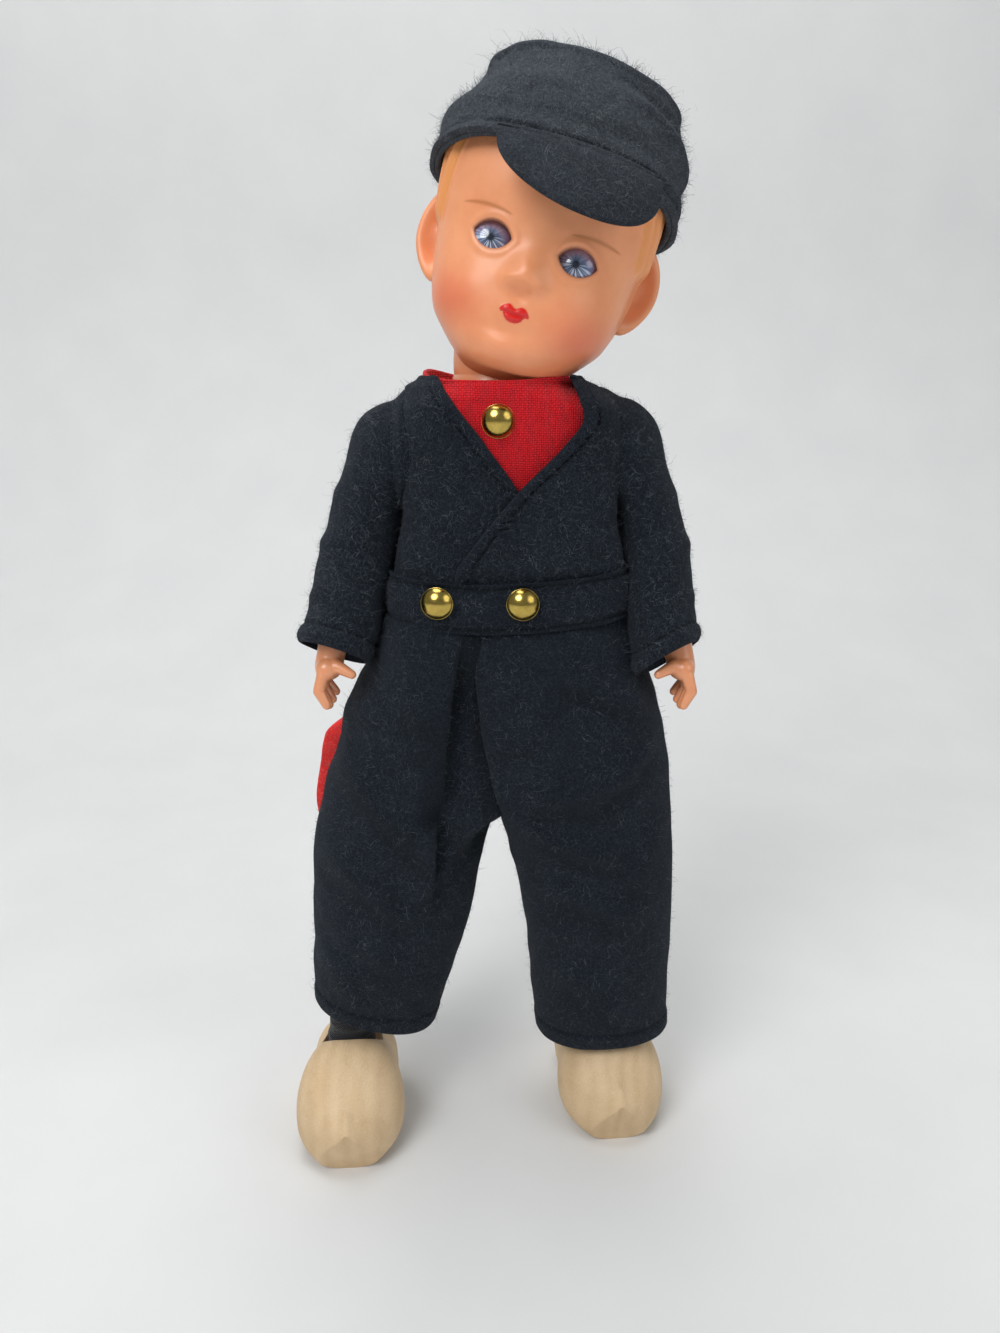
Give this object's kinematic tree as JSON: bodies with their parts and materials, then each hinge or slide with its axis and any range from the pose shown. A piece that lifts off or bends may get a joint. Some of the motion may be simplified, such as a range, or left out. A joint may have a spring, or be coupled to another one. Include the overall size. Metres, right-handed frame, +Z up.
{
  "type": "strung costume doll",
  "caption": "Strung hard-plastic doll dressed as a fisher boy: felt jacket, baggy trousers, peaked cap, wooden clogs, sleep eyes, jointed neck, arms and legs.",
  "frame": {"origin": "on the floor under the middle of the standing doll's outline", "axes": "+Z up, the doll faces -Y, the doll's left hand is at +X"},
  "size_m": [0.1107, 0.0687, 0.2767],
  "materials": {
    "skin": "satin moulded plastic",
    "card": "pressed board",
    "iris": "clear glossy",
    "wire": "drawn wire",
    "lead": "dull cast",
    "felt": "brushed felt",
    "red_cotton": "plain weave",
    "red_felt": "brushed felt",
    "brass": "polished",
    "elastic": "braided",
    "stocking": "knitted",
    "clog_wood": "sanded raw wood"
  },
  "bodies": {
    "torso": {"torso_front": "skin", "torso_back": "skin", "neck_socket": "card", "jacket_back": "felt", "jacket_right_front": "felt", "jacket_left_front": "felt", "dickey": "red_cotton", "collar": "red_cotton", "collar_stud": "brass", "waistband": "felt", "right_waist_stud": "brass", "left_waist_stud": "brass", "trouser_seat": "felt", "right_hip_panel": "felt", "left_hip_panel": "felt", "handkerchief": "red_felt", "arm_elastic": "elastic", "leg_elastic": "elastic", "neck_elastic": "elastic"},
    "neck_hook": {"neck_stirrup": "wire"},
    "head": {"head_front": "skin", "head_back": "skin", "neck_ball": "skin", "eye_bracket": "card"},
    "eyes": {"right_eye": "iris", "left_eye": "iris", "eye_axle": "wire", "eye_weight": "lead"},
    "cap": {"cap_crown": "felt", "cap_band": "felt", "cap_peak": "felt"},
    "right_arm": {"right_arm": "skin", "right_shoulder_disc": "card", "right_sleeve": "felt", "right_cuff": "felt"},
    "right_leg": {"right_leg": "skin", "right_hip_disc": "card", "right_stocking": "stocking", "right_trouser_leg": "felt", "right_clog": "clog_wood"},
    "left_arm": {"left_arm": "skin", "left_shoulder_disc": "card", "left_sleeve": "felt", "left_cuff": "felt"},
    "left_leg": {"left_leg": "skin", "left_hip_disc": "card", "left_stocking": "stocking", "left_trouser_leg": "felt", "left_clog": "clog_wood"}
  },
  "joints": [
    {"name": "neck_turn", "type": "hinge", "parent": "torso", "child": "neck_hook", "pos_m": [0.0016, 0.0044, 0.203], "axis": [0, 0, 1], "range_deg": [-60, 60]},
    {"name": "neck_tilt", "type": "hinge", "parent": "neck_hook", "child": "head", "pos_m": [0.0016, 0.0044, 0.203], "axis": [0.0785, 0.9969, 0], "range_deg": [-31, 0]},
    {"name": "eye_sleep", "type": "hinge", "parent": "head", "child": "eyes", "pos_m": [0.00908, -0.00883, 0.23364], "axis": [0.9607, -0.0756, -0.2672], "range_deg": [0, 55]},
    {"name": "cap_lift", "type": "slide", "parent": "head", "child": "cap", "axis": [0.2412, 0.1689, 0.9557], "range_m": [0, 0.03]},
    {"name": "right_shoulder", "type": "hinge", "parent": "torso", "child": "right_arm", "pos_m": [0, 0.0044, 0.19], "axis": [-1, 0, 0], "range_deg": [-10, 120]},
    {"name": "left_shoulder", "type": "hinge", "parent": "torso", "child": "left_arm", "pos_m": [0, 0.0044, 0.19], "axis": [-1, 0, 0], "range_deg": [-10, 120]},
    {"name": "right_hip", "type": "hinge", "parent": "torso", "child": "right_leg", "pos_m": [0, 0.0044, 0.116], "axis": [-1, 0, 0], "range_deg": [-20, 70]},
    {"name": "left_hip", "type": "hinge", "parent": "torso", "child": "left_leg", "pos_m": [0, 0.0044, 0.116], "axis": [-1, 0, 0], "range_deg": [-20, 70]}
  ]
}
